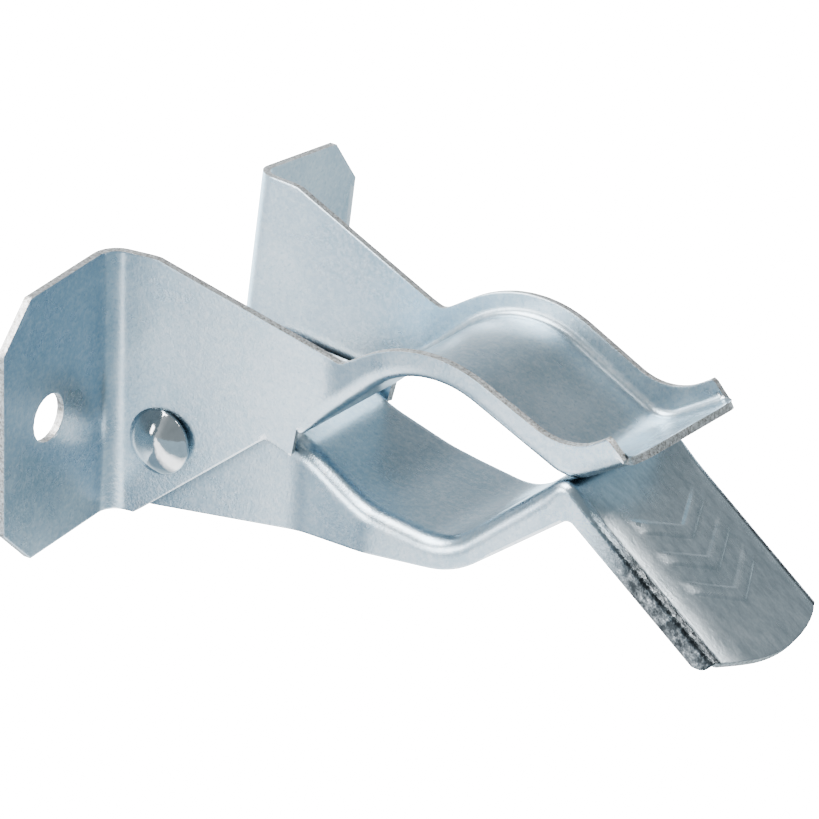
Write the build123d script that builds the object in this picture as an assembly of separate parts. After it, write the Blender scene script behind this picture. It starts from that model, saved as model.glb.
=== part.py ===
from build123d import *
import os
from math import atan2, cos, hypot, pi, radians, sin, tan

# Spring-loaded wall grip for a round handle. Millimetres and degrees.
# X runs out from the wall, Y across the grip, Z up. X = 0 is the wall face. The
# sizes below count Z from mid height; the finished pieces sit with the screw holes at 0.

# Sheet and overall size
sheet = 1.0            # thickness of both pressings
fold = 1.2             # inside radius of the jaw folds
bend = 2.6             # inside radius between flange and web
reach = 66.0           # wall to the pinch point where the jaws meet
jaw_half = 12.05       # half the width over the jaws, at the floor
height = 36.4          # tall side of the mounting flanges
flange = 22.5          # flange width from its fold
flange_cut = 5.67      # corner cut of the flanges
hole_out = 12.96       # mounting hole from the flange fold
hole_dia = 6.35        # mounting hole

# Side webs of the upper bracket
root_half = 15.28      # half the width over the webs at the wall
splay = 8.08           # the webs close in towards the jaws
flare = 5.05           # the webs open towards the top
web_top = 6.4          # level part of the web's top edge
web_foot = 3.3         # level part of its bottom edge

# Jaws
opening = 20.05        # clear height between the two jaw floors
rim = 3.7              # height of the jaw rims and tab rims over the sheet
nip_gap = 0.08         # air left where the jaws meet
nip_z = 4.9            # underside of the upper jaw at the pinch point
lip = 12.0             # length of the flared lip in front of the pinch
lip_round = 3.8        # rounding of its two front corners
tab = 29.7             # length of the push tab down its middle
tab_slope = 36.0       # push tab below level
tab_round = 23.5       # plan radius of the tab's end

# Hinge
pin_x = 8.3            # hinge pin from the wall
pin_z = -6.8
pin_dia = 5.0
pin_slip = 0.05        # air round the pin in the lower jaw
seat_slip = 0.01       # air round the pin in the bracket
side_gap = 0.22        # air between the two pressings
head_dia = 8.7
head_high = 2.4
head_proud = 0.25      # gap under the head on the pin's axis

mark_high = 0.25       # raised chevrons on the push tab

# Torsion spring
wire = 1.6
coil_air = 0.5         # air between the pin and the coil
turns = 4
leg_air = 0.03         # air under the two legs

# Places along the reach that follow from the sizes above
back = sheet
web_end = back + 0.485 * (reach - back)
waist = back + 0.40 * (reach - back)
half_high = height / 2
lean = radians(flare)
hole_y = (root_half + hole_out) * cos(lean) + 0.12
hole_z = -hole_out * sin(lean)
turn = radians(splay)
slope = radians(tab_slope)


def unit(a, b):
    d = hypot(b[0] - a[0], b[1] - a[1])
    return (b[0] - a[0]) / d, (b[1] - a[1]) / d


def meet(p, u, q, v):
    # crossing of the line through p along u with the line through q along v
    k = ((q[0] - p[0]) * v[1] - (q[1] - p[1]) * v[0]) / (u[0] * v[1] - u[1] * v[0])
    return p[0] + k * u[0], p[1] + k * u[1]


def arc_at(a, b, c, r):
    # start, middle and end of the arc that rounds corner b
    u, v = unit(b, a), unit(b, c)
    half = abs(atan2(u[0] * v[1] - u[1] * v[0], u[0] * v[0] + u[1] * v[1])) / 2
    run = r / tan(half)
    w = unit((0, 0), (u[0] + v[0], u[1] + v[1]))
    far = r / sin(half) - r
    return (
        (b[0] + u[0] * run, b[1] + u[1] * run),
        (b[0] + w[0] * far, b[1] + w[1] * far),
        (b[0] + v[0] * run, b[1] + v[1] * run),
    )


def outline(points):
    # closed face through (x, y, corner radius) points
    parts, ends = [], []
    count = len(points)
    for i, (x, y, r) in enumerate(points):
        before, after = points[i - 1], points[(i + 1) % count]
        if r > 0:
            s, m, e = arc_at(before, (x, y), after, r)
            parts.append(ThreePointArc(s, m, e))
            ends.append((s, e))
        else:
            ends.append(((x, y), (x, y)))
    for i in range(count):
        a, b = ends[i][1], ends[(i + 1) % count][0]
        if hypot(a[0] - b[0], a[1] - b[1]) > 1e-6:
            parts.append(Line(a, b))
    return make_face(parts)


def shifted(path, t):
    # the same path moved t to its left, radii kept concentric
    out = []
    last = len(path) - 1
    for i, (x, y, r) in enumerate(path):
        u = unit(path[max(i - 1, 0)], path[max(i, 1)])
        v = unit(path[min(i, last - 1)], path[min(i + 1, last)])
        a = (x - u[1] * t, y + u[0] * t)
        b = (x - v[1] * t, y + v[0] * t)
        side = u[0] * v[1] - u[1] * v[0]
        if abs(side) < 1e-9:
            out.append((a[0], a[1], 0))
        else:
            m = meet(a, u, b, v)
            grown = r - t if side > 0 else r + t
            out.append((m[0], m[1], max(grown, 0.05) if r > 0 else 0))
    return out


def band(path, t):
    return outline(path + shifted(path, t)[::-1])


def slab(face, half=40):
    # prism across the grip with the given side view
    return extrude(Plane.XZ * face, half, both=True)


def inner_half(x, z):
    # half the free width between the webs at a place
    outer = root_half - (x - back) * tan(turn)
    return (outer - sheet / cos(turn) + z * sin(lean)) / cos(lean)


def soften(solid, first, second, radius):
    # round the edges that lie on both given shapes, where the sheet allows it
    def near(e, s):
        return all(s.distance_to(Vertex(*(e @ k))) < 2e-3 for k in (0.05, 0.5, 0.95))
    edges = [e for e in solid.edges() if near(e, first) and near(e, second)]
    try:
        return solid.fillet(radius, edges)
    except ValueError:
        return solid


def beyond(path, far):
    # everything on one side of a side view line
    return slab(outline(path + [(path[-1][0], far, 0), (path[0][0], far, 0)]))


# Side views -----------------------------------------------------------------
# Upper jaw, underside of the sheet, from the web to the lip
rise = 43.2                                     # angle of its rear part
fall = 24.6                                     # angle down to the pinch
flick = 31.0                                    # angle of the lip
arch_r = 13.4
nip_r = 5.5
crown = nip_z + 0.35 * opening                # highest underside of the arch


def way(deg):
    return cos(radians(deg)), sin(radians(deg))


nip_low = (reach, nip_z - nip_r * (1 / cos(radians((fall + flick) / 2)) - 1))
seat_x = back + 0.6985 * (reach - back)
arch_mid = (seat_x, crown - arch_r)
side_in = (arch_mid[0] - arch_r * way(rise)[1], arch_mid[1] + arch_r * way(rise)[0])
arch_tip = meet(side_in, way(rise), nip_low, way(-fall))
floor_rear = (waist - 0.5, side_in[1] - (side_in[0] - waist + 0.5) * tan(radians(rise)))
lip_end = (nip_low[0] + lip * way(flick)[0], nip_low[1] + lip * way(flick)[1])
upper_path = [
    (*floor_rear, 0),
    (*arch_tip, arch_r),
    (*nip_low, nip_r),
    (*lip_end, 0),
]


def upper_profile():
    # side view of everything kept of the web, the floor fold and the rim
    lift = (-sheet * way(flick)[1], sheet * way(flick)[0])
    return [
        (-5, 30, 0),
        (back + web_top - 8, 30, 0),
        (back + web_top - 0.04, half_high + 0.05, 0),
        (web_end + 0.1, crown - 1.7, 1.6),
        (seat_x - 2.0, crown + 1.68 * rim, arch_r + rim + 0.9),
        (nip_low[0], nip_z + 1.0 * rim, nip_r + 3.5),
        (lip_end[0] - 3.2, lip_end[1] + 0.8 * rim, 0.9),
        (lip_end[0] + lift[0], lip_end[1] + lift[1], 0),
        (*lip_end, 0),
        (*nip_low, nip_r),
        (*arch_tip, arch_r),
        (waist + 0.4, floor_rear[1] + 0.9 * tan(radians(rise)), 0),
        (waist - 1.0, pin_z + 2.5, 0.6),
        (back + 0.328 * (reach - back), -2.8, 0.5),
        (back + web_foot, -half_high, 0),
        (back + web_foot - 4, -30, 0),
        (-5, -30, 0),
    ]


# Lower jaw, top of the sheet, from behind the seat to the end of the tab
crest_r = sheet + fold
tab_way = way(-tab_slope)
climb = 41.6
crest_x = reach - 0.25
half_turn = radians((climb + tab_slope) / 2)
crest = (crest_x, nip_z - nip_gap + crest_r * (1 / cos(half_turn) - 1))
seat_low = crown - opening
seat_front = meet((seat_x, seat_low - 0.55), way(-6.8), crest, way(climb))
seat_back = (back + 0.5615 * (reach - back), seat_low + 0.65)
rear_x = back + 0.305 * (reach - back)
floor_back = (rear_x, seat_back[1] + (seat_back[0] - rear_x) * tan(radians(22.6)))
tab_tip = (crest[0] + (tab + 3.1) * tab_way[0], crest[1] + (tab + 3.1) * tab_way[1])
lower_path = [
    (*tab_tip, 0),
    (*crest, crest_r),
    (*seat_front, 8.0),
    (*seat_back, 20.0),
    (*floor_back, 0),
]


def lower_profile():
    low = shifted(lower_path, rim - 0.2)
    tip = low[0]
    notch = (crest[0] + 0.6, crest[1] - 6.0)
    return [
        (*tab_tip, 0),
        (*crest, crest_r),
        (*seat_front, 8.0),
        (*seat_back, 20.0),
        (*floor_back, 0),
        (back + 3.2, pin_z + 6.4, 4.5),
        (back + 1.0, pin_z - 1.2, 6.0),
        (back + 3.1, -17.05, 2.4),
        (seat_front[0] + 1.8, seat_low - 4.1, 13.0),
        (*meet(notch, way(climb), low[0], tab_way), 1.2),
        (*tip[:2], 0),
    ]


# Plan views -----------------------------------------------------------------
def bracket_wall():
    # flange, web and jaw rim of the near side as one bent strip
    jaw = jaw_half * cos(lean) - 0.6 * crown * sin(lean)
    path = [
        (back, -root_half - flange, 0),
        (back, -root_half, bend),
        (web_end - 1.6, -root_half + (web_end - 1.6 - back) * tan(turn), 14),
        (web_end + 6.5, -jaw, 14),
        (reach + 30, -jaw, 0),
    ]
    leaning = Plane((0, 0, 0), x_dir=(1, 0, 0), z_dir=(0, -sin(lean), cos(lean)))
    shift = root_half * tan(lean)
    strip = extrude(leaning * (Pos(0, 0, shift - half_high) * band(path, sheet)), height)
    inside = [(back, -root_half, bend)] + path[2:] + [(reach + 30, 60, 0), (back, 60, 0)]
    hull = extrude(leaning * (Pos(0, 0, -60) * outline(inside)), 120)
    return strip, hull


def flange_keep():
    # square view of the near flange with its two cut corners
    out = -root_half - flange
    c, h = flange_cut, half_high + root_half * tan(lean)
    low = -half_high + root_half * tan(lean)
    shape = outline([
        (out, low + c, 0), (out, h - c, 0), (out + c, h, 0), (30, h, 0), (30, low, 0),
        (out + c, low, 0),
    ])
    turned = Plane((0, 0, 0), x_dir=(0, cos(lean), sin(lean)), z_dir=(1, 0, 0))
    return extrude(turned * shape, 100, both=True)


def bore(x, y, z, dia, length, along):
    shape = Cylinder(dia / 2, length)
    turned = Rot(0, 90, 0) if along == "x" else Rot(90, 0, 0)
    return Pos(x, y, z) * turned * shape


def upper_bracket():
    strip, hull = bracket_wall()
    strip = strip & flange_keep()
    strip -= bore(0, -hole_y, hole_z, hole_dia, 20, "x")
    wall = strip & slab(outline(upper_profile()))
    floor = slab(band(upper_path, sheet)) & hull & mirror(hull, about=Plane.XZ)
    part = wall + mirror(wall, about=Plane.XZ) + floor
    outside = Box(400, 400, 400) - (hull & mirror(hull, about=Plane.XZ))
    part = soften(part, beyond(upper_path, -60), outside, sheet) - lip_trim()
    return part - bore(pin_x, 0, pin_z, pin_dia + 2 * seat_slip, 60, "y")


def lip_trim():
    # what the rounded front corners leave off
    go = way(flick)
    across = Plane((nip_low[0], 0, nip_low[1]), x_dir=(go[0], 0, go[1]), z_dir=(-go[1], 0, go[0]))
    half = jaw_half + (lip_end[1] - 0.6 * crown) * tan(lean)
    kept = Pos(lip - 30, 0) * RectangleRounded(60, 2 * half, lip_round)
    front = Pos(lip - lip_round + 20, 0) * Rectangle(40, 100)
    return extrude(across * (front - kept), 12, both=True)


def lower_jaw():
    rear = inner_half(back + 2, -half_high) - side_gap
    neck = inner_half(waist, -4.6) - side_gap
    path = [
        (-5, -rear - (rear - neck) * (back + 7) / (waist - back - 2), 0),
        (waist, -neck, 12),
        (web_end + 5.2, -jaw_half, 12),
        (crest[0] - 3, -jaw_half, 30),
        (crest[0] + 3, -jaw_half - 0.15, 30),
        (reach + 60, -jaw_half - 0.15, 0),
    ]
    wall = extrude(Pos(0, 0, -60) * band(path, sheet), 120)
    wall = wall & slab(outline(lower_profile()))
    hull = extrude(Pos(0, 0, -60) * outline(path + [(reach + 60, 60, 0), (-5, 60, 0)]), 120)
    hull = hull & mirror(hull, about=Plane.XZ)
    floor = slab(band(lower_path, sheet)) & hull
    part = wall + mirror(wall, about=Plane.XZ) + floor
    outside = Box(400, 400, 400) - hull
    part = soften(part, beyond(lower_path[::-1], 60), outside, sheet) & tab_end()
    for mark in tab_mark():
        part += mark
    return part - bore(pin_x, 0, pin_z, pin_dia + 2 * pin_slip, 60, "y")


def tab_end():
    # everything behind the rounded end of the push tab
    across = Plane(
        (crest[0], 0, crest[1]), x_dir=(tab_way[0], 0, tab_way[1]),
        z_dir=(-tab_way[1], 0, tab_way[0]),
    )
    tip = tab + 2.7
    body = Pos(tip - tab_round, 0) * Circle(tab_round)
    body += Pos(tip - 11 - 100, 0) * Rectangle(200, 80)
    return extrude(across * body, 120, both=True)


def tab_mark():
    # three raised chevrons pointing down the push tab
    across = Plane(
        (crest[0], 0, crest[1]), x_dir=(tab_way[0], 0, tab_way[1]),
        z_dir=(-tab_way[1], 0, tab_way[0]),
    )
    marks = []
    for i in range(3):
        a = 9.5 + 5.0 * i
        arms = outline([
            (a, -6.6, 0.6), (a + 3.4, 0, 0.4), (a, 6.6, 0.6), (a + 1.7, 6.6, 0.6),
            (a + 5.1, 0, 0.4), (a + 1.7, -6.6, 0.6),
        ])
        marks.append(extrude(across * (Pos(0, 0, -0.2) * arms), mark_high + 0.2))
    return marks


def web_normal():
    return sin(turn), -cos(turn) * cos(lean), -cos(turn) * sin(lean)


def pivot_rivet():
    # plain shank with domed heads square to it, each bedded on the high side of its web
    side = inner_half(pin_x, pin_z) + sheet / cos(turn) / cos(lean)
    brim = 0.5
    cap = head_high - brim
    ball = (head_dia ** 2 / 4 + cap ** 2) / (2 * cap)
    side_view = make_face([
        Line((0, 0), (head_dia / 2, 0)),
        Line((head_dia / 2, 0), (head_dia / 2, brim)),
        RadiusArc((head_dia / 2, brim), (0, head_high), -ball),
        Line((0, head_high), (0, 0)),
    ])
    dome = revolve(Plane.XZ * side_view, Axis.Z)
    under = Plane((pin_x, -side - head_proud, pin_z), x_dir=(1, 0, 0), z_dir=(0, -1, 0))
    web = Plane((pin_x, -side, pin_z), x_dir=(0, 0, 1), z_dir=web_normal())
    head = under * dome & extrude(web * Rectangle(80, 80), 40)
    shank = bore(pin_x, 0, pin_z, pin_dia, 2 * (side + head_proud) + 0.4, "y")
    return shank + head + mirror(head, about=Plane.XZ)


def leg(start, direction, floor, rear, side):
    # wire from the coil to the sheet, then along it; floor is a sloped line from rear on
    u = unit((0, 0), direction)
    knee = meet(start, u, floor[0], floor[1])
    far = max(3.0, (rear + 2.5 - knee[0]) / floor[1][0])
    tip = (knee[0] + far * floor[1][0], knee[1] + far * floor[1][1])
    s, m, e = ((x, side, z) for x, z in arc_at(start, knee, tip, 2.2))
    first, last = (start[0], side, start[1]), (tip[0], side, tip[1])
    path = Wire([Line(first, s), ThreePointArc(s, m, e), Line(e, last)])
    return rod(path) + Pos(*first) * Sphere(wire / 2)


def rod(path, frenet=False):
    end = Plane(origin=path @ 0, z_dir=path % 0) * Circle(wire / 2)
    return sweep(end, path=path, is_frenet=frenet)


def torsion_spring():
    radius = pin_dia / 2 + coil_air + wire / 2
    top, low = radians(105), radians(-76)
    pitch = wire + 0.06
    width = pitch * (turns + (low - top) / (2 * pi) + 1)
    origin = (pin_x, -width / 2, pin_z)
    start = Plane(origin, x_dir=(cos(top), 0, sin(top)), z_dir=(0, 1, 0))
    coil = rod(start * Helix(pitch, width, radius, lefthand=True), True)
    lift = wire / 2 + leg_air
    up = way(rise)
    over = shifted([(*side_in, 0), (side_in[0] + up[0], side_in[1] + up[1], 0)], sheet + lift)
    down = unit(floor_back[:2], seat_back[:2])
    under = shifted([(*seat_back, 0), (*floor_back, 0)], sheet + lift)
    first = (pin_x + radius * cos(top), pin_z + radius * sin(top))
    last = (pin_x + radius * cos(low), pin_z + radius * sin(low))
    leg_a = leg(first, (sin(top), -cos(top)), (over[0][:2], up), floor_rear[0], -width / 2)
    leg_b = leg(last, (-sin(low), cos(low)), (under[0][:2], down), floor_back[0], width / 2)
    return coil + leg_a + leg_b


nodes = {
    "upper_bracket": upper_bracket(),
    "lower_jaw": lower_jaw(),
    "pivot_rivet": pivot_rivet(),
    "torsion_spring": torsion_spring(),
}
os.makedirs("parts", exist_ok=True)
for name, solid in nodes.items():
    export_step(Pos(0, 0, -hole_z) * solid, f"parts/{name}.step")
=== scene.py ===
import math

import bpy
import numpy as np
from mathutils import Matrix, Vector


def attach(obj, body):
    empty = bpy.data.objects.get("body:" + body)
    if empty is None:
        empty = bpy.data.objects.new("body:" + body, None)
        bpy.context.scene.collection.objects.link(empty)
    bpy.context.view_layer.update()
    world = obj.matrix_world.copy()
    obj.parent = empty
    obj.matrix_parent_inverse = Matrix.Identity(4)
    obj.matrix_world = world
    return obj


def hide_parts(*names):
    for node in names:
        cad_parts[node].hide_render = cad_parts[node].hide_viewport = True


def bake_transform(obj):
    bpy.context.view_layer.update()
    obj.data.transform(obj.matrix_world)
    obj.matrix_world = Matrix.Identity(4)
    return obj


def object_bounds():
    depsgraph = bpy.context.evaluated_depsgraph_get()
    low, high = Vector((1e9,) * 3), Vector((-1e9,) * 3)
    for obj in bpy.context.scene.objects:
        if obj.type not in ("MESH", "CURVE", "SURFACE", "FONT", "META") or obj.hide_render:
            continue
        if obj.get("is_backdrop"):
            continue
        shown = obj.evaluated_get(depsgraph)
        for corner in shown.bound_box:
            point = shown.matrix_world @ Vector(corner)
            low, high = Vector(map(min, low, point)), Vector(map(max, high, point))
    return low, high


# Spring grip for a round handle, screwed to a wall. Lengths here are millimetres,
# X out from the wall, Z up from the screw holes; a mesh is scaled to metres when made.

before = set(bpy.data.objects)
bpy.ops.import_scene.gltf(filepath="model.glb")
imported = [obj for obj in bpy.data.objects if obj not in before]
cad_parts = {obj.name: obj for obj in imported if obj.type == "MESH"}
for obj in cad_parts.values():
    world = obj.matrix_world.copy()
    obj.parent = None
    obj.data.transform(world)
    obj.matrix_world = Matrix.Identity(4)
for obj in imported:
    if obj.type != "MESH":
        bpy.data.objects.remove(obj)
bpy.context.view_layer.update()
mm = 0.001
print("frame loaded")


def unit(v):
    v = np.asarray(v, float)
    return v / np.linalg.norm(v)


def roundedPath(points, step=0.6, turn=6.0):
    # (x, y, corner radius) points made into a dense polyline
    out = [np.array(points[0][:2], float)]
    for i in range(1, len(points) - 1):
        p = np.array(points[i][:2], float)
        r = points[i][2]
        u = unit(np.array(points[i - 1][:2]) - p)
        v = unit(np.array(points[i + 1][:2]) - p)
        half = math.acos(np.clip(u @ v, -1, 1)) / 2
        if r <= 0 or half > 1.5707:
            out.append(p)
            continue
        run = r / math.tan(half)
        centre = p + unit(u + v) * r / math.sin(half)
        a, b = p + u * run - centre, p + v * run - centre
        first = math.atan2(a[1], a[0])
        sweep = (math.atan2(b[1], b[0]) - first + math.pi) % (2 * math.pi) - math.pi
        count = max(4, int(abs(math.degrees(sweep)) / turn))
        for k in range(count + 1):
            t = first + sweep * k / count
            out.append(centre + r * np.array([math.cos(t), math.sin(t)]))
    out.append(np.array(points[-1][:2], float))
    dense = [out[0]]
    for a, b in zip(out, out[1:]):
        count = max(1, int(np.linalg.norm(b - a) / step))
        dense += [a + (b - a) * k / count for k in range(1, count + 1)]
    keep = [dense[0]]
    for p in dense[1:]:
        if np.linalg.norm(p - keep[-1]) > 1e-4:
            keep.append(p)
    return np.array(keep)


def runLength(path):
    return np.concatenate([[0], np.cumsum(np.linalg.norm(np.diff(path, axis=0), axis=1))])


def pointAt(path, s):
    total = runLength(path)
    return np.stack([np.interp(s, total, path[:, 0]), np.interp(s, total, path[:, 1])], -1)


def normalAt(path, s, reach=0.35):
    # left-hand normal, averaged over a short stretch
    total = runLength(path)[-1]
    a = pointAt(path, np.clip(s - reach, 0, total))
    b = pointAt(path, np.clip(s + reach, 0, total))
    d = (b - a) / np.linalg.norm(b - a, axis=-1, keepdims=True)
    return np.stack([-d[..., 1], d[..., 0]], -1)


def nearest(path, p):
    # run length of the path's point closest to p
    fine = np.linspace(0, runLength(path)[-1], 4000)
    gap = np.linalg.norm(pointAt(path, fine) - np.asarray(p[:2], float), axis=1)
    return fine[gap.argmin()]


def spread(anchors, count):
    # anchors: run lengths that belong together; count: steps in each gap
    out = [np.linspace(a, b, n + 1)[:-1] for a, b, n in zip(anchors, anchors[1:], count)]
    return np.concatenate(out + [[anchors[-1]]])


def edgeShare(rows, height):
    # steps over a wall, with one narrow row along each sheet edge
    d = min(0.3 / max(height, 1e-6), 0.2)
    return np.concatenate([[0.0], np.linspace(d, 1 - d, rows - 1), [1.0]])


def easeStep(t):
    t = np.clip(t, 0, 1)
    return t * t * (3 - 2 * t)


class SheetGrid:
    # the middle surface of one half of a pressing, y >= 0
    def __init__(self):
        self.verts, self.faces = [], []

    def addRow(self, points):
        first = len(self.verts)
        self.verts += [tuple(float(c) for c in p) for p in points]
        return list(range(first, len(self.verts)))

    def join(self, a, b):
        self.faces += [(a[k], b[k], b[k + 1], a[k + 1]) for k in range(len(a) - 1)]

    def punch(self, columns, flat, centre, radius, surface, turned=False):
        # flat: which two coordinates the round hole is drawn in
        c = np.array(centre, float)

        def distance(q):
            v = np.array(self.verts[q])[list(flat)]
            return np.linalg.norm(v - c)

        cells = []
        for i in range(len(columns) - 1):
            for k in range(len(columns[i]) - 1):
                quad = (columns[i][k], columns[i + 1][k], columns[i + 1][k + 1], columns[i][k + 1])
                if min(distance(q) for q in quad) < radius + 0.35:
                    cells.append((i, k))
        i0, i1 = min(i for i, k in cells), max(i for i, k in cells) + 1
        k0, k1 = min(k for i, k in cells), max(k for i, k in cells) + 1
        gone = set()
        for i in range(i0, i1):
            for k in range(k0, k1):
                gone.add(frozenset((columns[i][k], columns[i + 1][k],
                                    columns[i + 1][k + 1], columns[i][k + 1])))
        self.faces = [f for f in self.faces if frozenset(f) not in gone]
        loop = [columns[i][k0] for i in range(i0, i1)] + [columns[i1][k] for k in range(k0, k1)]
        loop += [columns[i][k1] for i in range(i1, i0, -1)] + [columns[i0][k] for k in range(k1, k0, -1)]
        start = [np.array(self.verts[q])[list(flat)] for q in loop]
        last = loop
        for share in (0.4, 0.7, 0.9, 1.0):
            ring = []
            for p in start:
                rim = c + unit(p - c) * radius
                ring.append(surface(*(p + (rim - p) * share)))
            now = self.addRow(ring)
            for k in range(len(loop)):
                m = (k + 1) % len(loop)
                quad = (last[k], last[m], now[m], now[k])
                self.faces.append(quad[::-1] if turned else quad)
            last = now

    def mirrored(self):
        # adds the other half; points on the middle plane are shared
        used = sorted({q for f in self.faces for q in f})
        place = {q: n for n, q in enumerate(used)}
        verts = [self.verts[q] for q in used]
        faces = [tuple(place[q] for q in f) for f in self.faces]
        twin = {}
        for n, v in enumerate(list(verts)):
            if abs(v[1]) < 1e-9:
                twin[n] = n
            else:
                twin[n] = len(verts)
                verts.append((v[0], -v[1], v[2]))
        return verts, faces + [tuple(twin[q] for q in reversed(f)) for f in faces]


def meshPiece(name, verts, faces):
    mesh = bpy.data.meshes.new(name)
    mesh.from_pydata([(x * mm, y * mm, z * mm) for x, y, z in verts], [], faces)
    mesh.validate()
    mesh.update()
    mesh.polygons.foreach_set("use_smooth", [True] * len(mesh.polygons))
    piece = bpy.data.objects.new(name, mesh)
    bpy.context.scene.collection.objects.link(piece)
    return piece


def thicken(piece, thickness, edgeRound, face, edge):
    piece.data.materials.append(face)
    piece.data.materials.append(edge)
    solid = piece.modifiers.new("sheet", "SOLIDIFY")
    solid.thickness = thickness * mm
    solid.offset = 0
    solid.use_even_offset = True
    solid.use_quality_normals = True
    solid.material_offset_rim = 1
    bevel = piece.modifiers.new("burr", "BEVEL")
    bevel.width = edgeRound * mm
    bevel.segments = 2
    bevel.limit_method = "ANGLE"
    bevel.angle_limit = math.radians(48)
    bevel.use_clamp_overlap = True
    weigh = piece.modifiers.new("shade", "WEIGHTED_NORMAL")
    weigh.keep_sharp = False
    return piece


# Upper bracket: flanges, splayed webs and the arched jaw
upper = dict(
    sheet=1.0,
    foldIn=1.2,
    bendIn=2.6,
    bendRoom=3.6,
    lean=5.05,
    lowEdge=-16.85,
    topEdge=19.55,
    flangeEnd=37.78,
    cornerCut=5.67,
    holeY=28.25,
    holeDia=6.35,
    pin=(8.3, -5.659),
    pinHole=5.02,
    zeroShift=1.1408,
    plan=[(1.0, 37.78, 0), (1.0, 15.28, 2.6), (30.925, 11.032, 14), (39.025, 11.374, 14), (96.0, 11.374, 0)],
    floor=[(26.5, -0.649, 0), (43.722, 15.523, 13.4), (66.0, 5.323, 5.5), (76.286, 11.504, 0)],
    top=[(1.0, 21.413, 0), (7.36, 19.391, 0), (32.625, 11.358, 1.6), (44.403, 19.274, 18),
         (66.0, 9.741, 9), (73.086, 14.464, 0.9), (75.771, 12.361, 0)],
    foot=[(1.0, -19.87, 0), (4.3, -17.059, 0), (22.32, -1.659, 0.5), (26.0, -3.159, 0.6)],
    lipRound=3.8,
    lipWide=12.45,
    lipRun=4.0,
    rimMarks=[(32.625, 11.6), (37.5, 14.6), (44.4, 17.0), (52, 15.0), (60, 11.6), (66.0, 9.9), (70.5, 12.4)],
    rowsHigh=26,
    rowsFold=7,
    rowsFloor=16,
)


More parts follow.
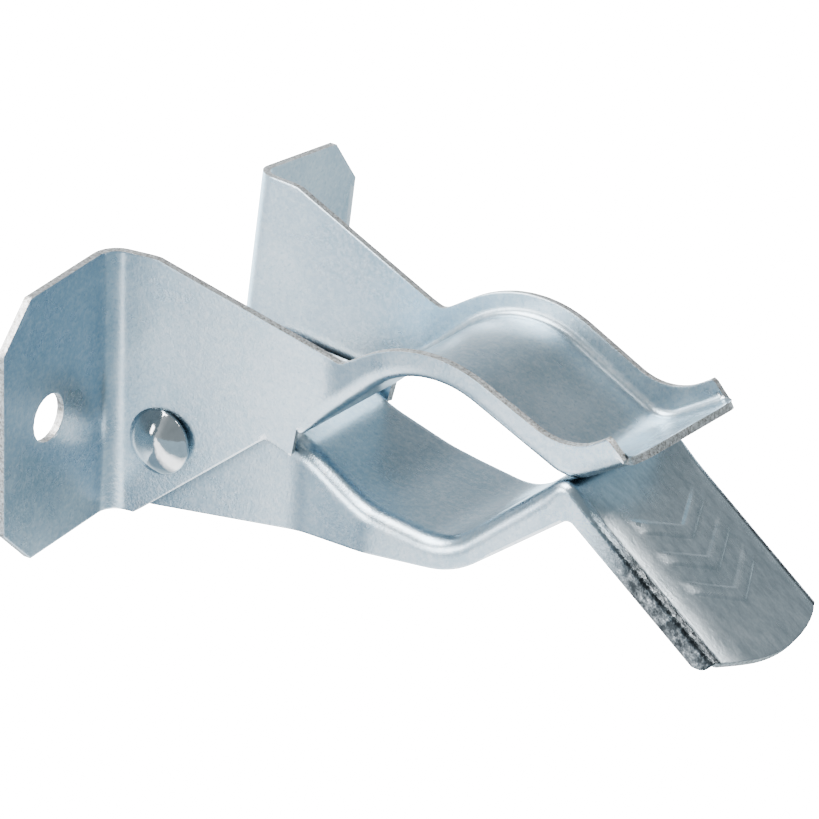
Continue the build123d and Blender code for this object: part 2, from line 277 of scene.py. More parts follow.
def buildUpper():
    p = upper
    lean = math.radians(p["lean"])
    half = p["sheet"] / 2
    midFold = p["foldIn"] + half
    xFlange = half
    # plan of the middle surface: flange, bend, web, jaw
    plan = [(xFlange, p["flangeEnd"], 0)]
    slopeWay = unit(np.array(p["plan"][2][:2]) - np.array(p["plan"][1][:2]))
    inward = np.array([slopeWay[1], -slopeWay[0]])
    a = np.array(p["plan"][1][:2]) + inward * half
    corner = a + slopeWay * (xFlange - a[0]) / slopeWay[0]
    plan.append((corner[0], corner[1], p["bendIn"] + half))
    for k in (2, 3, 4):
        q = p["plan"][k]
        plan.append((q[0], q[1] - half, q[2]))
    path = roundedPath(plan, 0.4, 7.0)
    total = runLength(path)
    bendFrom = corner[1] + p["bendRoom"]
    bendStart = nearest(path, (xFlange, bendFrom))
    webStart = total[np.argmax(path[:, 0] > 4.0)]
    web = path[path[:, 0] > 3.8]

    def yOf(x, z):
        flat = np.interp(x, web[:, 0], web[:, 1])
        return (flat + (z - p["zeroShift"]) * math.sin(lean)) / math.cos(lean)

    def surface(x, z):
        return (x, float(yOf(x, z)), z)

    def leaned(x, yFlat, up):
        return (x, yFlat * math.cos(lean) + up * math.sin(lean),
                -yFlat * math.sin(lean) + up * math.cos(lean) + p["zeroShift"])

    grid = SheetGrid()
    rows = p["rowsHigh"]

    # flange and bend columns, cut corners included
    flangeColumns = []
    flats = [p["flangeEnd"]]
    flats += list(np.linspace(p["flangeEnd"] - 0.3, p["flangeEnd"] - p["cornerCut"], 6))
    flats += list(np.linspace(flats[-1], bendFrom, 13))[1:]
    stations = [(xFlange, f) for f in flats]
    stations += [tuple(q) for q in pointAt(path, np.linspace(bendStart, webStart, 17))[1:]]
    for x, flat in stations:
        cut = max(0.0, p["cornerCut"] - (p["flangeEnd"] - flat))
        low, high = p["lowEdge"] + cut, p["topEdge"] - cut
        share = edgeShare(rows, high - low)
        flangeColumns.append(grid.addRow([leaned(x, flat, low + (high - low) * t) for t in share]))
    xStart = stations[-1][0]

    # web and jaw columns: the foot chain runs on into the fold's upper edge
    floor = roundedPath(p["floor"], 0.5, 4.0)
    foldEnd = runLength(floor)[-1]
    foldFirst = nearest(floor, (27.3, 0.1))

    def foldRadius(s):
        return 0.45 + (midFold - 0.45) * easeStep((s - foldFirst) / 5.0)

    def floorMid(s):
        return pointAt(floor, s) + normalAt(floor, s) * half

    s = np.concatenate([
        np.linspace(foldFirst, foldFirst + 12, 26)[:-1],
        np.linspace(foldFirst + 12, foldEnd, 70),
    ])
    top = roundedPath(p["top"], 0.3, 4.0)
    highLine = leaned(xStart, np.interp(xStart, web[:, 0], web[:, 1]), p["topEdge"])[2]
    top[:, 1] = np.minimum(top[:, 1], highLine + 0.02 * (top[:, 0] - xStart))
    top = top[top[:, 0] >= xStart]
    top = np.vstack([[xStart, highLine], top])
    # tops over the fold: straight across from the floor where the rim is parallel to it
    pairs = [(s[0], nearest(top, (28.3, 12.7)))]
    for x, z in p["rimMarks"]:
        near = nearest(top, (x, z))
        pairs.append((nearest(floor, pointAt(top, near)), near))
    pairs.append((foldEnd, runLength(top)[-1]))
    pairs = np.array(sorted(pairs))
    rims = pointAt(top, np.interp(s, pairs[:, 0], pairs[:, 1]))
    room = [0.86 * np.linalg.norm(rim - floorMid(v)) for v, rim in zip(s, rims)]
    radii = np.minimum([foldRadius(v) for v in s], room)
    foldTop = np.array([floorMid(v) + normalAt(floor, v) * r for v, r in zip(s, radii)])
    foot = roundedPath(p["foot"], 0.4, 10.0)
    foot = foot[foot[:, 0] >= xStart]
    lowLine = leaned(xStart, np.interp(xStart, web[:, 0], web[:, 1]), p["lowEdge"])[2]
    foot[:, 1] = np.maximum(foot[:, 1], lowLine)
    foot = np.vstack([[xStart, lowLine], foot, foldTop[0]])
    footMarks = [0, nearest(foot, (22.32, -1.7)), nearest(foot, (26.0, -3.1)), runLength(foot)[-1]]
    topMarks = [0, nearest(top, (22.6, 14.5)), nearest(top, (26.2, 13.4)), nearest(top, (28.3, 12.7))]
    counts = [18, 7, 6]
    lows = pointAt(foot, spread(footMarks, counts))[:-1]
    highs = pointAt(top, spread(topMarks, counts))[:-1]
    lipWay = unit(np.array(p["floor"][3][:2]) - np.array(p["floor"][2][:2]))
    lipEnd = np.array(p["floor"][3][:2])

    def lipCorner(x, y, z):
        # the front corners are rounded in the plane of the lip
        a = (np.array([x, z]) - lipEnd) @ lipWay + p["lipRun"]
        into = min(y - (p["lipWide"] - p["lipRound"]), p["lipRound"] * 0.985)
        if a < 0 or into < 0:
            return (x, y, z)
        back = p["lipRound"] - math.sqrt(p["lipRound"] ** 2 - into ** 2)
        shift = -back * min(a / p["lipRun"], 1.0)
        return (x + lipWay[0] * shift, y, z + lipWay[1] * shift)

    webColumns = []
    for low, high in zip(lows[1:], highs[1:]):
        share = edgeShare(rows, np.linalg.norm(high - low))
        webColumns.append(grid.addRow([surface(*(low + (high - low) * t)) for t in share]))
    jawColumns = []
    arc = np.linspace(0, math.pi / 2, p["rowsFold"] + 1)
    for v, rim, edge, r in zip(s, rims, foldTop, radii):
        mid, n = floorMid(v), normalAt(floor, v)
        wide = yOf(*edge)
        across = np.linspace(0, wide - r, p["rowsFloor"] + 1)
        column = [(mid[0], y, mid[1]) for y in across[:-1]]
        for a in arc[:-1]:
            q = mid + n * r * (1 - math.cos(a))
            column.append((q[0], wide - r + r * math.sin(a), q[1]))
        share = edgeShare(rows, np.linalg.norm(rim - edge))
        column += [surface(*(edge + (rim - edge) * t)) for t in share]
        jawColumns.append(grid.addRow([lipCorner(*q) for q in column]))
    wallOnly = [c[-(rows + 1):] for c in jawColumns]
    walls = flangeColumns + webColumns + wallOnly
    for a, b in zip(walls, walls[1:]):
        grid.join(a, b)
    inner = p["rowsFloor"] + p["rowsFold"] + 1
    for a, b in zip(jawColumns, jawColumns[1:]):
        grid.join(a[:inner], b[:inner])
    flangeOnly = flangeColumns[:len(flats)]
    grid.punch(flangeOnly, (1, 2), (p["holeY"], 0.0), p["holeDia"] / 2, lambda y, z: (xFlange, y, z))
    grid.punch(walls, (0, 2), p["pin"], p["pinHole"] / 2, surface)
    return grid.mirrored()


# Lower jaw: side plates on the pin, the cupped seat, the crest and the push tab
lower = dict(
    sheet=1.0,
    foldIn=1.2,
    pin=(8.3, -5.659),
    pinHole=5.10,
    floor=[(20.825, 0.598, 0), (37.498, -6.342, 20), (49.433, -7.903, 8), (65.75, 6.584, 3.0),
           (92.286, -12.696, 0)],
    wide=[(-4.0, 13.03, 0), (27.0, 9.994, 12), (37.725, 12.05, 12), (62.75, 12.05, 30),
          (68.75, 12.2, 30), (130.0, 12.2, 0)],
    top=[(2.02, -6.9, 0), (4.2, 0.741, 4.5), (20.2, 0.60, 0)],
    foot=[(2.02, -7.6, 0), (4.1, -15.909, 2.4), (51.233, -11.092, 13), (67.117, 1.264, 1.2),
          (90.229, -15.527, 0)],
    crestAt=(65.75, 6.584),
    tabSlope=36.0,
    tabTip=32.4,
    tabRound=23.5,
    rimPairs=[((37.2, -6.2), (36.2, -12.6)), ((49.4, -7.2), (50.5, -10.9)),
              ((57.8, -0.5), (60.3, -4.0)), ((63.13, 4.26), (65.7, 0.17))],
    rowsWall=16,
    rowsFold=7,
    rowsFloor=44,
    tabFold=0.9,
    crownFrom=6.2,
    crownDrop=0.85,
    markHigh=0.25,
    markFirst=9.5,
    markStep=5.0,
    markSpan=6.6,
    markDepth=3.4,
    markBar=1.7,
)


def tabMark(a, y):
    # height of the raised chevrons at a distance down the tab
    p = lower
    high = 0.0
    tilt = math.atan2(p["markDepth"], p["markSpan"])
    for i in range(3):
        line = p["markFirst"] + i * p["markStep"] + p["markBar"] / 2
        line += p["markDepth"] * (1 - abs(y) / p["markSpan"])
        away = abs(a - line) * math.cos(tilt)
        end = abs(y) - p["markSpan"]
        rise = (p["markBar"] / 2 * math.cos(tilt) - away) / 0.6 + 0.5
        high = max(high, easeStep(min(rise, 0.5 - end / 2.6)))
    return p["markHigh"] * high


def buildLower():
    p = lower
    half = p["sheet"] / 2
    midFold = p["foldIn"] + half
    wide = roundedPath(p["wide"], 0.4, 3.0)
    floor = roundedPath(p["floor"], 0.3, 4.0)

    def yOf(x):
        return float(np.interp(x, wide[:, 0], wide[:, 1])) - half

    def surface(x, z):
        return (x, yOf(x), z)

    down = math.radians(p["tabSlope"])
    tabWay = np.array([math.cos(down), -math.sin(down)])
    crest = np.array(p["crestAt"])

    def tabEnd(x, y, z, deep=0.0):
        # the last stretch follows the tab's rounded end; the rim's own end is eased off
        a = (np.array([x, z]) - crest) @ tabWay
        first = 14.0
        if x < crest[0] or a < first:
            return (x, y, z)
        end = p["tabTip"] - p["tabRound"] + math.sqrt(p["tabRound"] ** 2 - y * y) - 1.4 * deep ** 3
        shift = (a - first) * (end - first) / (p["tabTip"] - first) - (a - first)
        return (x + tabWay[0] * shift, y, z + tabWay[1] * shift)

    def foldRadius(s):
        tight = (midFold - p["tabFold"]) * easeStep((s - crestRun + 5.0) / 6.0)
        return 0.5 + (midFold - 0.5 - tight) * easeStep(s / 4.0)

    def floorMid(v):
        return pointAt(floor, v) - normalAt(floor, v) * half

    def drop(y):
        # the tab's top rolls off towards both sides
        return p["crownDrop"] * max(0.0, (y - p["crownFrom"]) / (11.7 - p["crownFrom"])) ** 2

    grid = SheetGrid()
    rows = p["rowsWall"]
    crestRun = nearest(floor, p["crestAt"])
    tabRun = nearest(floor, crest + tabWay * 7.5)
    lastRun = nearest(floor, crest + tabWay * 26.0)
    tipRun = nearest(floor, crest + tabWay * p["tabTip"])
    s = spread([0, crestRun - 6, crestRun + 5, tabRun, lastRun, tipRun], [60, 36, 6, 84, 16])
    foldLow = np.array([floorMid(v) - normalAt(floor, v, 0.8) * foldRadius(v) for v in s])

    top = roundedPath(p["top"], 0.3, 8.0)
    top = np.vstack([top, foldLow[0]])
    foot = roundedPath(p["foot"], 0.4, 5.0)
    sideTop = [0, nearest(top, (4.2, 0.2)), runLength(top)[-1]]
    sideFoot = [0, nearest(foot, (4.4, -15.5)), nearest(foot, (21.5, -14.2))]
    counts = [9, 18]
    highs = pointAt(top, spread(sideTop, counts))[:-1]
    lows = pointAt(foot, spread(sideFoot, counts))[:-1]
    kink = np.array(p["foot"][3][:2])
    overKink = (kink - crest) @ tabWay
    pairs = [(0, sideFoot[-1])]
    for seat, edge in p["rimPairs"]:
        pairs.append((nearest(floor, seat), nearest(foot, edge)))
    for far in (overKink + 0.5, 8.0, 16.0, 24.0, p["tabTip"]):
        edge = kink + tabWay * (far - overKink)
        pairs.append((crestRun + far, nearest(foot, edge)))
    pairs = np.array(sorted(pairs))
    feet = pointAt(foot, np.interp(s, pairs[:, 0], pairs[:, 1]))

    sides = []
    for high, low in zip(highs, lows):
        share = edgeShare(rows, np.linalg.norm(high - low))
        sides.append(grid.addRow([surface(*(high + (low - high) * t)) for t in share]))
    folded = []
    arc = np.linspace(0, math.pi / 2, p["rowsFold"] + 1)
    for v, edge, low in zip(s, foldLow, feet):
        mid, n, r = floorMid(v), normalAt(floor, v), foldRadius(v)
        w = yOf(edge[0])
        column = []
        crown = easeStep((v - crestRun - 1.0) / 7.0)
        for y in np.linspace(0, w - r, p["rowsFloor"] + 1)[:-1]:
            a = (mid - crest) @ tabWay
            lift = tabMark(a, y) if v > tabRun else 0.0
            lift -= crown * drop(y)
            column.append(tabEnd(mid[0] + n[0] * lift, y, mid[1] + n[1] * lift))
        for t in arc[:-1]:
            q = mid + (edge - mid) * (1 - math.cos(t)) - n * crown * drop(w - r) * math.cos(t)
            column.append(tabEnd(q[0], w - r + r * math.sin(t), q[1]))
        for t in edgeShare(rows, np.linalg.norm(low - edge)):
            q = edge + (low - edge) * t
            column.append(tabEnd(q[0], yOf(q[0]), q[1], t))
        folded.append(grid.addRow(column))
    walls = sides + [c[-(rows + 1):] for c in folded]
    for a, b in zip(walls, walls[1:]):
        grid.join(b, a)
    inner = p["rowsFloor"] + p["rowsFold"] + 1
    for a, b in zip(folded, folded[1:]):
        grid.join(b[:inner], a[:inner])
    grid.punch(walls, (0, 2), p["pin"], p["pinHole"] / 2, surface, True)
    return grid.mirrored()


# Rivet: plain shank, domed heads square to it, each bedded on the high side of its web
rivet = dict(
    at=(8.3, -5.659),
    seat=13.698,
    splay=8.08,
    lean=5.05,
    shank=5.0,
    head=8.7,
    high=2.4,
    brim=0.5,
    proud=0.25,
    soft=0.22,
    around=96,
)


def buildRivet():
    p = rivet
    r = p["head"] / 2
    cap = p["high"] - p["brim"]
    ball = (r * r + cap * cap) / (2 * cap)
    sweep = math.asin((r - p["soft"]) / ball)
    profile = []
    for k in range(1, 17):
        t = sweep * k / 16
        profile.append((ball * math.sin(t), p["high"] - ball * (1 - math.cos(t))))
    last = profile[-1][1]
    profile += [(r - 0.10, last - 0.12), (r - 0.02, last - 0.26), (r, last - 0.42)]
    profile += [(r - 0.03, 0.12), (r - 0.12, 0.0)]
    neck = p["shank"] / 2
    profile += [(neck + 0.5, 0.0), (neck + 0.12, 0.0), (neck, -0.06), (neck, -0.5)]
    tilt = math.tan(math.radians(p["splay"])), math.tan(math.radians(p["lean"]))
    angles = np.linspace(0, 2 * math.pi, p["around"], endpoint=False)
    verts = [(p["at"][0], p["seat"] + p["proud"] + p["high"], p["at"][1])]
    for radius, high in profile:
        for t in angles:
            x, z = math.cos(t) * radius, -math.sin(t) * radius
            y = p["seat"] + p["proud"] + high
            if radius > neck + 0.05:
                # nothing of the head sinks into the web
                y = max(y, p["seat"] - x * tilt[0] + z * tilt[1] + 0.012)
            verts.append((p["at"][0] + x, y, p["at"][1] + z))
    count, rings = p["around"], len(profile)
    faces = [(0, 1 + k, 1 + (k + 1) % count) for k in range(count)]
    for i in range(rings - 1):
        a, b = 1 + i * count, 1 + (i + 1) * count
        faces += [(a + k, b + k, b + (k + 1) % count, a + (k + 1) % count) for k in range(count)]
    size = len(verts)
    verts += [(x, -y, z) for x, y, z in verts]
    faces += [tuple(q + size for q in reversed(f)) for f in faces]
    a, b = 1 + (rings - 1) * count, size + 1 + (rings - 1) * count
    faces += [(a + k, b + k, b + (k + 1) % count, a + (k + 1) % count) for k in range(count)]
    return verts, faces


# Torsion spring: coil round the pin, one leg on each jaw floor
spring = dict(
    at=(8.3, -5.659),
    wire=1.6,
    coil=3.8,
    halfWide=3.733,
    turned=1619.0,
    first=105.0,
    legBend=2.2,
    legFoot=3.0,
    legAir=0.83,
    around=16,
)


def crossing(p, u, q, v):
    k = ((q[0] - p[0]) * v[1] - (q[1] - p[1]) * v[0]) / (u[0] * v[1] - u[1] * v[0])
    return np.array(p) + k * np.array(u)


def springLeg(start, way, floorA, floorB, side):
    p = spring
    along = unit(np.array(floorB) - np.array(floorA))
    off = np.array([-along[1], along[0]]) * side * (1.0 + p["legAir"])
    bend = crossing(start, way, np.array(floorA) + off, along)
    tip = bend + along * p["legFoot"]
    return roundedPath([(*start, 0), (*bend, p["legBend"]), (*tip, 0)], 0.6, 8.0)


def buildSpring():
    p = spring
    first = math.radians(p["first"])
    last = first + math.radians(p["turned"])
    c = np.array(p["at"])

    def onCoil(t):
        return c + p["coil"] * np.array([math.cos(t), math.sin(t)])

    legA = springLeg(onCoil(first), (math.sin(first), -math.cos(first)), (26.5, -0.649), (43.722, 15.523), 1)
    legB = springLeg(onCoil(last), (-math.sin(last), math.cos(last)), (20.825, 0.598), (37.498, -6.342), -1)
    turns = np.linspace(first, last, 150)
    high = np.linspace(-p["halfWide"], p["halfWide"], 150)
    line = [(x, -p["halfWide"], z) for x, z in legA[::-1][:-1]]
    line += [(*onCoil(t)[:1], y, onCoil(t)[1]) for t, y in zip(turns, high)]
    line += [(x, p["halfWide"], z) for x, z in legB[1:]]
    line = np.array(line)
    tangents = np.gradient(line, axis=0)
    tangents /= np.linalg.norm(tangents, axis=1)[:, None]
    side = unit(np.cross(tangents[0], (0, 1, 0)))
    r = p["wire"] / 2
    verts, faces = [], []
    angles = np.linspace(0, 2 * math.pi, p["around"], endpoint=False)
    rings = [(0, 0.0, 0.80), (0, 0.12, 0.97)] + [(i, 0.0, 1.0) for i in range(1, len(line) - 1)]
    rings += [(len(line) - 1, -0.12, 0.97), (len(line) - 1, 0.0, 0.80)]
    sideAt = {}
    for i, t in enumerate(tangents):
        side = unit(side - t * (side @ t))
        sideAt[i] = side
    for i, push, size in rings:
        t, a = tangents[i], sideAt[i]
        b = np.cross(t, a)
        middle = line[i] + t * push
        verts += [tuple(middle + (a * math.cos(k) + b * math.sin(k)) * r * size) for k in angles]
    count = p["around"]
    for i in range(len(rings) - 1):
        a, b = i * count, (i + 1) * count
        faces += [(a + k, a + (k + 1) % count, b + (k + 1) % count, b + k) for k in range(count)]
    faces.append(tuple(range(count))[::-1])
    faces.append(tuple(range(len(verts) - count, len(verts))))
    return verts, faces


# Finishes
def nodeMaterial(name):
    mat = bpy.data.materials.new(name)
    mat.use_nodes = True
    tree = mat.node_tree
    shader = next(n for n in tree.nodes if n.type == "BSDF_PRINCIPLED")
    return mat, tree, shader


def addNode(tree, kind, inputs=None, **settings):
    node = tree.nodes.new(kind)
    for key, value in settings.items():
        setattr(node, key, value)
    for key, value in (inputs or {}).items():
        socket = node.inputs[key]
        if isinstance(value, bpy.types.NodeSocket):
            tree.links.new(value, socket)
        else:
            socket.default_value = value
    return node


def ramp(tree, value, stops):
    node = addNode(tree, "ShaderNodeValToRGB", {"Fac": value})
    bar = node.color_ramp
    while len(bar.elements) < len(stops):
        bar.elements.new(0.5)
    for element, (at, shade) in zip(bar.elements, stops):
        element.position = at
        element.color = (*shade, 1) if not isinstance(shade, float) else (shade, shade, shade, 1)
    return node.outputs["Color"]


def mixShade(tree, fac, a, b, blend="MIX"):
    node = addNode(tree, "ShaderNodeMix", data_type="RGBA", blend_type=blend)
    for socket, value in ((node.inputs[0], fac), (node.inputs[6], a), (node.inputs[7], b)):
        if isinstance(value, bpy.types.NodeSocket):
            tree.links.new(value, socket)
        else:
            socket.default_value = value if not isinstance(value, tuple) or len(value) == 4 else (*value, 1)
    return node.outputs[2]


def sums(tree, operation, a, b=0.0, c=0.0):
    node = addNode(tree, "ShaderNodeMath", operation=operation)
    for socket, value in zip(node.inputs, (a, b, c)):
        if isinstance(value, bpy.types.NodeSocket):
            tree.links.new(value, socket)
        else:
            socket.default_value = value
    return node.outputs[0]


zinc = dict(
    deep=(0.36, 0.49, 0.58),
    pale=(0.56, 0.67, 0.74),
    bright=(0.84, 0.87, 0.89),
    ground=(0.045, 0.052, 0.056),
    groundPale=(0.22, 0.24, 0.25),
    tabDeep=(0.50, 0.55, 0.57),
    tabPale=(0.76, 0.81, 0.83),
    shadow=(0.08, 0.14, 0.18),
    crevice=0.0018,
    cloud=55.0,
    grain=2600.0,
    speck=1300.0,
    drawn=260.0,
    pit=2100.0,
    nick=1500.0,
    brushed=900.0,
    rough=0.235,
    rimFrom=(0.0107, 0.0112),
    tabFrom=(0.0665, 0.0700),
    bareFrom=(0.0685, 0.0770),
)


def noiseAt(tree, where, scale, detail=3.0, rough=0.55, stretch=None):
    if stretch:
        where = addNode(tree, "ShaderNodeMapping", {"Vector": where, "Scale": stretch}).outputs[0]
    return addNode(tree, "ShaderNodeTexNoise", {
        "Vector": where, "Scale": scale, "Detail": detail, "Roughness": rough,
    }).outputs["Fac"]


def band(tree, value, low, high):
    # 0 below low, 1 above high, in metres
    node = addNode(tree, "ShaderNodeMapRange", {"Value": value, "From Min": low, "From Max": high})
    node.interpolation_type = "SMOOTHSTEP"
    return node.outputs[0]


def zincPlate(name, worked):
    mat, tree, shader = nodeMaterial(name)
    p = zinc
    where = addNode(tree, "ShaderNodeTexCoord").outputs["Object"]
    cloud = noiseAt(tree, where, p["cloud"], 4.0, 0.6)
    fine = noiseAt(tree, where, p["grain"], 2.0, 0.6)
    speck = noiseAt(tree, where, p["speck"], 3.0, 0.7)
    drawn = noiseAt(tree, where, p["drawn"], 3.0, 0.6, (0.25, 1.0, 1.0))
    shade = ramp(tree, cloud, [(0.32, p["deep"]), (0.68, p["pale"])])
    mottled = mixShade(tree, sums(tree, "MULTIPLY", ramp(tree, speck, [(0.42, 0.0), (0.68, 1.0)]), 0.42),
                       shade, p["bright"])
    point = addNode(tree, "ShaderNodeNewGeometry").outputs["Pointiness"]
    worn = ramp(tree, point, [(0.515, 0.0), (0.56, 1.0)])
    colour = mixShade(tree, sums(tree, "MULTIPLY", worn, 0.75), mottled, p["bright"])
    pit = noiseAt(tree, where, p["pit"], 2.0, 0.5)
    colour = mixShade(tree, sums(tree, "MULTIPLY", ramp(tree, pit, [(0.30, 1.0), (0.42, 0.0)]), 0.55),
                      colour, p["deep"])
    # painted shade: ambient occlusion darkens the colour towards the shadow tone in creases, under sheet
    # edges, beside the rivet head and where parts sit close
    openness = addNode(tree, "ShaderNodeAmbientOcclusion", {"Distance": p["crevice"]}, samples=8)
    paintedShade = ramp(tree, openness.outputs["AO"], [(0.50, 1.0), (0.92, 0.0)])
    rough = sums(tree, "MULTIPLY_ADD", cloud, 0.16, p["rough"] - 0.08)
    rough = sums(tree, "MULTIPLY_ADD", drawn, 0.10, rough)
    rough = sums(tree, "SUBTRACT", rough, sums(tree, "MULTIPLY", worn, 0.12))
    low = addNode(tree, "ShaderNodeBump", {"Height": drawn, "Strength": 0.10, "Distance": 0.00012})
    high = addNode(tree, "ShaderNodeBump", {
        "Height": fine, "Strength": 0.50, "Distance": 0.00004, "Normal": low.outputs[0],
    })
    normal = high.outputs[0]
    if worked:
        # the tab's rims were ground and the tab's face is darker and brushed along its slope
        split = addNode(tree, "ShaderNodeSeparateXYZ", {"Vector": where})
        side = band(tree, sums(tree, "ABSOLUTE", split.outputs["Y"]), *p["rimFrom"])
        onTab = band(tree, split.outputs["X"], *p["tabFrom"])
        ground = sums(tree, "MULTIPLY", side, onTab)
        nick = noiseAt(tree, where, p["nick"], 4.0, 0.75, (0.6, 1.0, 0.6))
        dark = ramp(tree, nick, [(0.44, p["ground"]), (0.60, p["groundPale"]), (0.72, p["bright"])])
        brushed = noiseAt(tree, where, p["brushed"], 3.0, 0.7, (0.5, 1.0, 0.5))
        faceTone = ramp(tree, brushed, [(0.35, p["tabDeep"]), (0.65, p["tabPale"])])
        colour = mixShade(tree, sums(tree, "MULTIPLY", onTab, 0.75), colour, faceTone)
        lowTab = band(tree, split.outputs["X"], *p["bareFrom"])
        bare = mixShade(tree, lowTab, p["pale"], dark)
        colour = mixShade(tree, ground, colour, bare)
        hammer = addNode(tree, "ShaderNodeBump", {
            "Height": nick, "Strength": sums(tree, "MULTIPLY", ground, 0.8), "Distance": 0.00018,
            "Normal": normal,
        })
        lines = addNode(tree, "ShaderNodeBump", {
            "Height": brushed, "Strength": sums(tree, "MULTIPLY", onTab, 0.22), "Distance": 0.0001,
            "Normal": hammer.outputs[0],
        })
        normal = lines.outputs[0]
        rough = sums(tree, "SUBTRACT", rough, sums(tree, "MULTIPLY", ground, 0.08))
    # painted shade from the occlusion mask above, mixed over the finish
    colour = mixShade(tree, sums(tree, "MULTIPLY", paintedShade, 0.70), colour, p["shadow"])
    tree.links.new(colour, shader.inputs["Base Color"])
    tree.links.new(rough, shader.inputs["Roughness"])
    tree.links.new(normal, shader.inputs["Normal"])
    shader.inputs["Metallic"].default_value = 1.0
    return mat


sheared = dict(
    brown=(0.34, 0.31, 0.28),
    grey=(0.62, 0.61, 0.59),
    bright=(0.90, 0.90, 0.89),
    streak=2600.0,
    spots=1500.0,
)


def shearedEdge():
    mat, tree, shader = nodeMaterial("shearedEdge")
    where = addNode(tree, "ShaderNodeTexCoord").outputs["Object"]
    streak = noiseAt(tree, where, sheared["streak"], 3.0, 0.7)
    spots = noiseAt(tree, where, sheared["spots"], 2.0, 0.6)
    shade = ramp(tree, streak, [(0.34, sheared["brown"]), (0.48, sheared["grey"]), (0.62, sheared["bright"])])
    tree.links.new(shade, shader.inputs["Base Color"])
    shader.inputs["Metallic"].default_value = 1.0
    tree.links.new(sums(tree, "MULTIPLY_ADD", spots, 0.25, 0.30), shader.inputs["Roughness"])
    bump = addNode(tree, "ShaderNodeBump", {"Height": streak, "Strength": 0.5, "Distance": 0.00012})
    tree.links.new(bump.outputs[0], shader.inputs["Normal"])
    return mat


def polishedRivet():
    mat, tree, shader = nodeMaterial("polishedRivet")
    where = addNode(tree, "ShaderNodeTexCoord").outputs["Object"]
    cloud = noiseAt(tree, where, 300.0, 3.0, 0.6)
    shade = ramp(tree, cloud, [(0.35, (0.66, 0.67, 0.67)), (0.65, (0.86, 0.87, 0.87))])
    tree.links.new(shade, shader.inputs["Base Color"])
    shader.inputs["Metallic"].default_value = 1.0
    tree.links.new(sums(tree, "MULTIPLY_ADD", cloud, 0.14, 0.03), shader.inputs["Roughness"])
    bump = addNode(tree, "ShaderNodeBump", {"Height": cloud, "Strength": 0.25, "Distance": 0.0003})
    tree.links.new(bump.outputs[0], shader.inputs["Normal"])
    return mat


def springSteel():
    mat, tree, shader = nodeMaterial("drawnSpringWire")
    where = addNode(tree, "ShaderNodeTexCoord").outputs["Object"]
    cloud = noiseAt(tree, where, 500.0, 3.0, 0.6)
    shade = ramp(tree, cloud, [(0.3, (0.30, 0.31, 0.32)), (0.7, (0.50, 0.51, 0.52))])
    tree.links.new(shade, shader.inputs["Base Color"])
    shader.inputs["Metallic"].default_value = 1.0
    tree.links.new(sums(tree, "MULTIPLY_ADD", cloud, 0.2, 0.22), shader.inputs["Roughness"])
    bump = addNode(tree, "ShaderNodeBump", {"Height": cloud, "Strength": 0.15, "Distance": 0.0001})
    tree.links.new(bump.outputs[0], shader.inputs["Normal"])
    return mat


plate = zincPlate("bluedZinc", False)
workedPlate = zincPlate("bluedZincTab", True)
cutEdge = shearedEdge()
print("finishes made")

edgeRound = 0.12
bracketPiece = thicken(meshPiece("bracketPressing", *buildUpper()), upper["sheet"], edgeRound, plate, cutEdge)
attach(bracketPiece, "bracket")
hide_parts("upper_bracket")
print("bracket pressing built")

jawPiece = thicken(meshPiece("jawPressing", *buildLower()), lower["sheet"], edgeRound, workedPlate, cutEdge)
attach(jawPiece, "jaw")
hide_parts("lower_jaw")
print("jaw pressing built")

rivetPiece = meshPiece("domedRivet", *buildRivet())
rivetPiece.data.materials.append(polishedRivet())
rivetPiece.modifiers.new("shade", "WEIGHTED_NORMAL")
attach(rivetPiece, "bracket")
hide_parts("pivot_rivet")
print("rivet built")

springPiece = meshPiece("torsionSpring", *buildSpring())
springPiece.data.materials.append(springSteel())
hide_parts("torsion_spring")
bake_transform(springPiece)
print("spring built")


# Camera, floor and light
view = dict(
    turn=31.6107,
    rise=23.9678,
    roll=4.4513,
    far=1139.24,
    look=(25.574, 16.539, -6.308),
    lens=395.604,
)


def placeCamera():
    p = view
    a, e, r = (math.radians(p[k]) for k in ("turn", "rise", "roll"))
    back = np.array([math.sin(a) * math.cos(e), -math.cos(a) * math.cos(e), math.sin(e)])
    right = unit(np.cross(-back, (0, 0, 1)))
    up = np.cross(right, -back)
    right, up = math.cos(r) * right + math.sin(r) * up, -math.sin(r) * right + math.cos(r) * up
    cam = bpy.data.cameras.new("studioCamera")
    cam.lens = p["lens"]
    cam.sensor_width = 36
    cam.clip_start, cam.clip_end = 0.05, 20
    piece = bpy.data.objects.new("studioCamera", cam)
    bpy.context.scene.collection.objects.link(piece)
    place = (np.array(p["look"]) + back * p["far"]) * mm
    axes = Matrix([right, up, back]).transposed().to_4x4()
    piece.matrix_world = Matrix.Translation(Vector(place)) @ axes
    bpy.context.scene.camera = piece
    return back, right, up


studio = dict(
    floorDrop=0.045,
    seenFloor=22.0,
    sweep=0.336,
    floorFar=(1.55, 1.70, 1.84),
    floorDip=(0.30, 0.46, 0.60),
    floorLeft=(3.6, 3.68, 3.76),
    floorRight=(0.44, 0.62, 0.75),
    floorBackLeft=(4.4, 5.4, 6.0),
    floorBackRight=(0.90, 1.06, 1.14),
    hollow=(0.22, 0.34, 0.42),
    hollowAt=(0.060, 0.095),
    hollowWide=(0.075, 0.035),
    left=(1.10, 1.20, 1.28),
    middle=(0.28, 0.33, 0.36),
    right=(0.26, 0.31, 0.34),
    boxes=[
        ("topBox", (-0.45, -0.38, 0.74), (0.03, 0, 0), (0.55, 0.55), 15.0),
        ("leftBox", (-0.60, -0.80, 0.15), (0.03, 0, 0), (0.5, 0.4), 6.0),
        ("rightBox", (0.48, 0.16, 0.85), (0.06, 0, 0), (0.40, 0.30), 5.0),
    ],
)


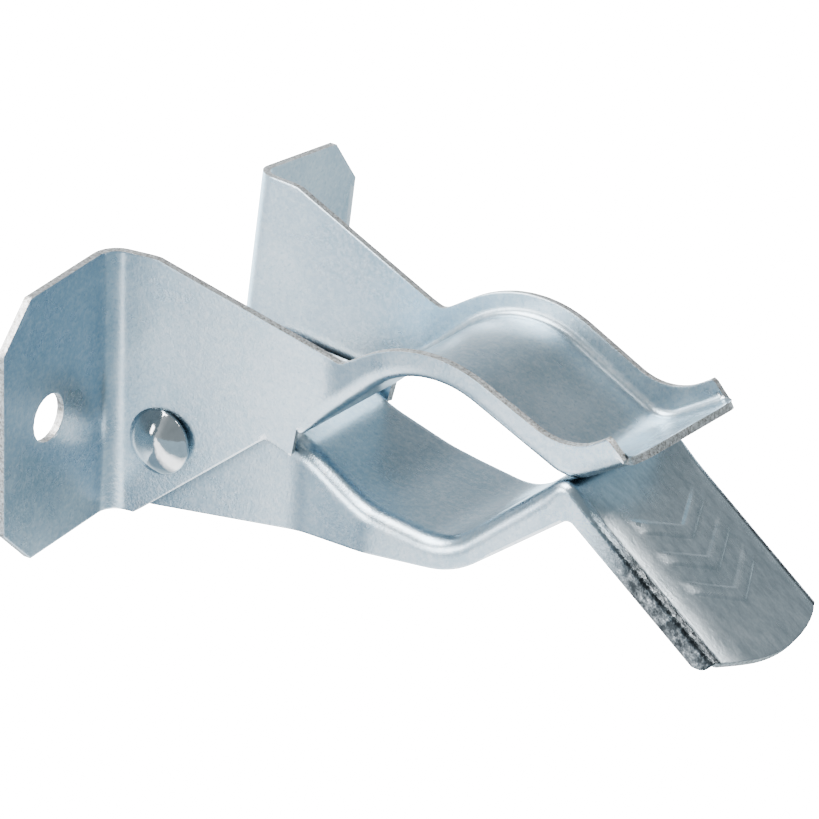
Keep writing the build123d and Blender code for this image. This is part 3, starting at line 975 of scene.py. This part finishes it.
def paleFloor():
    # even white to the camera; reflections see it graded
    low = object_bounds()[0].z
    size = 6.0
    z = low - studio["floorDrop"]
    mesh = bpy.data.meshes.new("paleFloor")
    n = 24
    line = np.linspace(-size, size, n + 1)
    verts = [(x, y, z) for y in line for x in line]
    faces = [(j * (n + 1) + i, j * (n + 1) + i + 1, (j + 1) * (n + 1) + i + 1, (j + 1) * (n + 1) + i)
             for j in range(n) for i in range(n)]
    mesh.from_pydata(verts, [], faces)
    piece = bpy.data.objects.new("paleFloor", mesh)
    bpy.context.scene.collection.objects.link(piece)
    mat, tree, shader = nodeMaterial("palePaper")
    tree.nodes.remove(shader)
    where = addNode(tree, "ShaderNodeTexCoord").outputs["Object"]
    place = addNode(tree, "ShaderNodeSeparateXYZ", {"Vector": where})
    x, y = place.outputs["X"], place.outputs["Y"]
    slant = sums(tree, "MULTIPLY_ADD", y, -studio["sweep"], x)
    nearRamp = ramp(tree, sums(tree, "MULTIPLY_ADD", slant, 5.0, 0.5),
                    [(0.25, studio["floorFar"]), (0.42, studio["floorDip"]), (0.55, studio["floorDip"]),
                     (0.63, studio["floorLeft"]), (0.76, studio["floorLeft"]), (0.925, studio["floorRight"])])
    farRamp = ramp(tree, sums(tree, "MULTIPLY_ADD", x, 3.0, 0.5),
                   [(0.15, studio["floorBackLeft"]), (0.70, studio["floorBackRight"])])
    depth = ramp(tree, sums(tree, "MULTIPLY_ADD", y, 6.0, 0.5), [(0.35, 0.0), (0.85, 1.0)])
    graded = mixShade(tree, depth, nearRamp, farRamp)
    hollowAt = (*studio["hollowAt"], z)
    reach = addNode(tree, "ShaderNodeVectorMath", {0: where, 1: hollowAt}, operation="DISTANCE")
    under = band(tree, reach.outputs["Value"], *studio["hollowWide"])
    mirroredTone = mixShade(tree, under, graded, studio["hollow"])
    seen = addNode(tree, "ShaderNodeLightPath").outputs["Is Camera Ray"]
    white = (studio["seenFloor"],) * 3
    colour = mixShade(tree, seen, mirroredTone, white)
    glow = addNode(tree, "ShaderNodeEmission", {"Color": colour, "Strength": 1.0})
    out = next(n for n in tree.nodes if n.type == "OUTPUT_MATERIAL")
    tree.links.new(glow.outputs[0], out.inputs["Surface"])
    mesh.materials.append(mat)
    piece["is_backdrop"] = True


def softWorld():
    world = bpy.data.worlds.new("studioWorld")
    bpy.context.scene.world = world
    world.use_nodes = True
    tree = world.node_tree
    tree.nodes.clear()
    out = tree.nodes.new("ShaderNodeOutputWorld")
    where = addNode(tree, "ShaderNodeTexCoord").outputs["Generated"]
    split = addNode(tree, "ShaderNodeSeparateXYZ", {"Vector": where})
    across = sums(tree, "MULTIPLY_ADD", split.outputs["X"], 0.5, 0.5)
    tone = ramp(tree, across, [(0.10, studio["left"]), (0.50, studio["middle"]), (0.80, studio["right"])])
    seen = addNode(tree, "ShaderNodeLightPath").outputs["Is Camera Ray"]
    colour = mixShade(tree, seen, tone, (studio["seenFloor"],) * 3)
    glow = addNode(tree, "ShaderNodeBackground", {"Color": colour, "Strength": 1.0})
    tree.links.new(glow.outputs[0], out.inputs["Surface"])


def softBox(name, place, aim, size, power):
    lamp = bpy.data.lights.new(name, "AREA")
    lamp.shape = "RECTANGLE"
    lamp.size, lamp.size_y = size
    lamp.energy = power
    piece = bpy.data.objects.new(name, lamp)
    bpy.context.scene.collection.objects.link(piece)
    piece.location = place
    piece.rotation_euler = (Vector(aim) - Vector(place)).to_track_quat("-Z", "Y").to_euler()


placeCamera()
paleFloor()
softWorld()
for box in studio["boxes"]:
    softBox(*box)
print("studio set")
